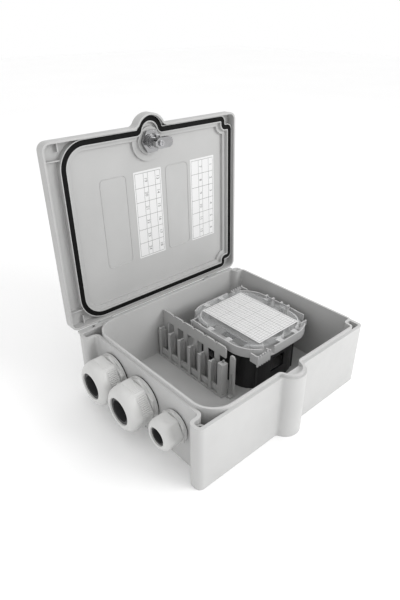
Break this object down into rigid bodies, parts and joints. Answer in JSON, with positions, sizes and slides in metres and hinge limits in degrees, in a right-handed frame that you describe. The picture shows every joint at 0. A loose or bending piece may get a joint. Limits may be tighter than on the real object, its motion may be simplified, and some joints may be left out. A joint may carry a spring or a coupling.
{
  "type": "fibre termination box",
  "caption": "Wall-mount fibre termination box with hinged gasketed lid, quarter-turn latch, cable glands, adapter rack and hinged splice tray.",
  "frame": {"origin": "centre of the four wall-screw holes, on the back face", "axes": "+X along the hinge away from the cable glands, +Y from the latch towards the hinge, +Z out of the wall"},
  "size_m": [0.337, 0.3035, 0.3631],
  "materials": {
    "shell_plastic": "fine moulded texture, light grey",
    "lid_plastic": "fine moulded texture, light grey",
    "inner_plastic": "satin moulded",
    "tray_plastic": "satin moulded",
    "gland_nylon": "satin nylon",
    "gasket_rubber": "matt black foam rubber",
    "seal_rubber": "matt dark grey rubber",
    "holder_rubber": "matt grey rubber",
    "black_plastic": "satin black",
    "clear_plastic": "clear sheet",
    "label_film": "printed white film",
    "zinc_alloy": "bright plated die casting",
    "steel": "zinc plated"
  },
  "bodies": {
    "base": {"base_shell": "shell_plastic", "hinge_pins": "steel", "adapter_rack": "inner_plastic", "adapter_panel": "inner_plastic", "rack_end_plate": "inner_plastic", "rack_screws": "steel", "tray_support": "black_plastic", "support_screws": "steel", "tray_hinge_pins": "steel", "gland_a_washer": "gasket_rubber", "gland_a_body": "gland_nylon", "gland_a_seal": "seal_rubber", "gland_a_locknut": "gland_nylon", "gland_b_washer": "gasket_rubber", "gland_b_body": "gland_nylon", "gland_b_seal": "seal_rubber", "gland_b_locknut": "gland_nylon", "gland_c_washer": "gasket_rubber", "gland_c_body": "gland_nylon", "gland_c_seal": "seal_rubber", "gland_c_locknut": "gland_nylon"},
    "lid": {"lid_shell": "lid_plastic", "lid_gasket": "gasket_rubber", "lid_label_left": "label_film", "lid_label_right": "label_film", "latch_housing": "zinc_alloy", "latch_nut": "zinc_alloy"},
    "latch": {"latch_barrel": "zinc_alloy", "latch_cam": "zinc_alloy", "latch_cam_screw": "steel"},
    "tray": {"splice_tray": "tray_plastic", "splice_holder": "holder_rubber", "cover_hinge_pins": "steel"},
    "cover": {"tray_cover": "clear_plastic", "tray_label": "label_film"},
    "nut_a": {"gland_a_nut": "gland_nylon"},
    "nut_b": {"gland_b_nut": "gland_nylon"},
    "nut_c": {"gland_c_nut": "gland_nylon"}
  },
  "joints": [
    {"name": "lid_hinge", "type": "hinge", "parent": "base", "child": "lid", "pos_m": [0, 0.13, 0.09], "axis": [-1, 0, 0], "range_deg": [-92, 0]},
    {"name": "latch_turn", "type": "hinge", "parent": "lid", "child": "latch", "pos_m": [0, 0.14227, 0.32672], "axis": [0, -0.9994, 0.0349], "range_deg": [0, 90]},
    {"name": "tray_lift", "type": "hinge", "parent": "base", "child": "tray", "pos_m": [0.138, 0, 0.072], "axis": [0, 1, 0], "range_deg": [0, 45]},
    {"name": "cover_lift", "type": "hinge", "parent": "tray", "child": "cover", "pos_m": [0.128, 0, 0.0852], "axis": [0, 1, 0], "range_deg": [0, 75]},
    {"name": "nut_a_turn", "type": "hinge", "parent": "base", "child": "nut_a", "pos_m": [-0.1535, 0.063, 0.052], "axis": [-1, 0, 0], "continuous": true},
    {"name": "nut_b_turn", "type": "hinge", "parent": "base", "child": "nut_b", "pos_m": [-0.1535, -0.0015, 0.052], "axis": [-1, 0, 0], "continuous": true},
    {"name": "nut_c_turn", "type": "hinge", "parent": "base", "child": "nut_c", "pos_m": [-0.1535, -0.066, 0.052], "axis": [-1, 0, 0], "continuous": true}
  ]
}
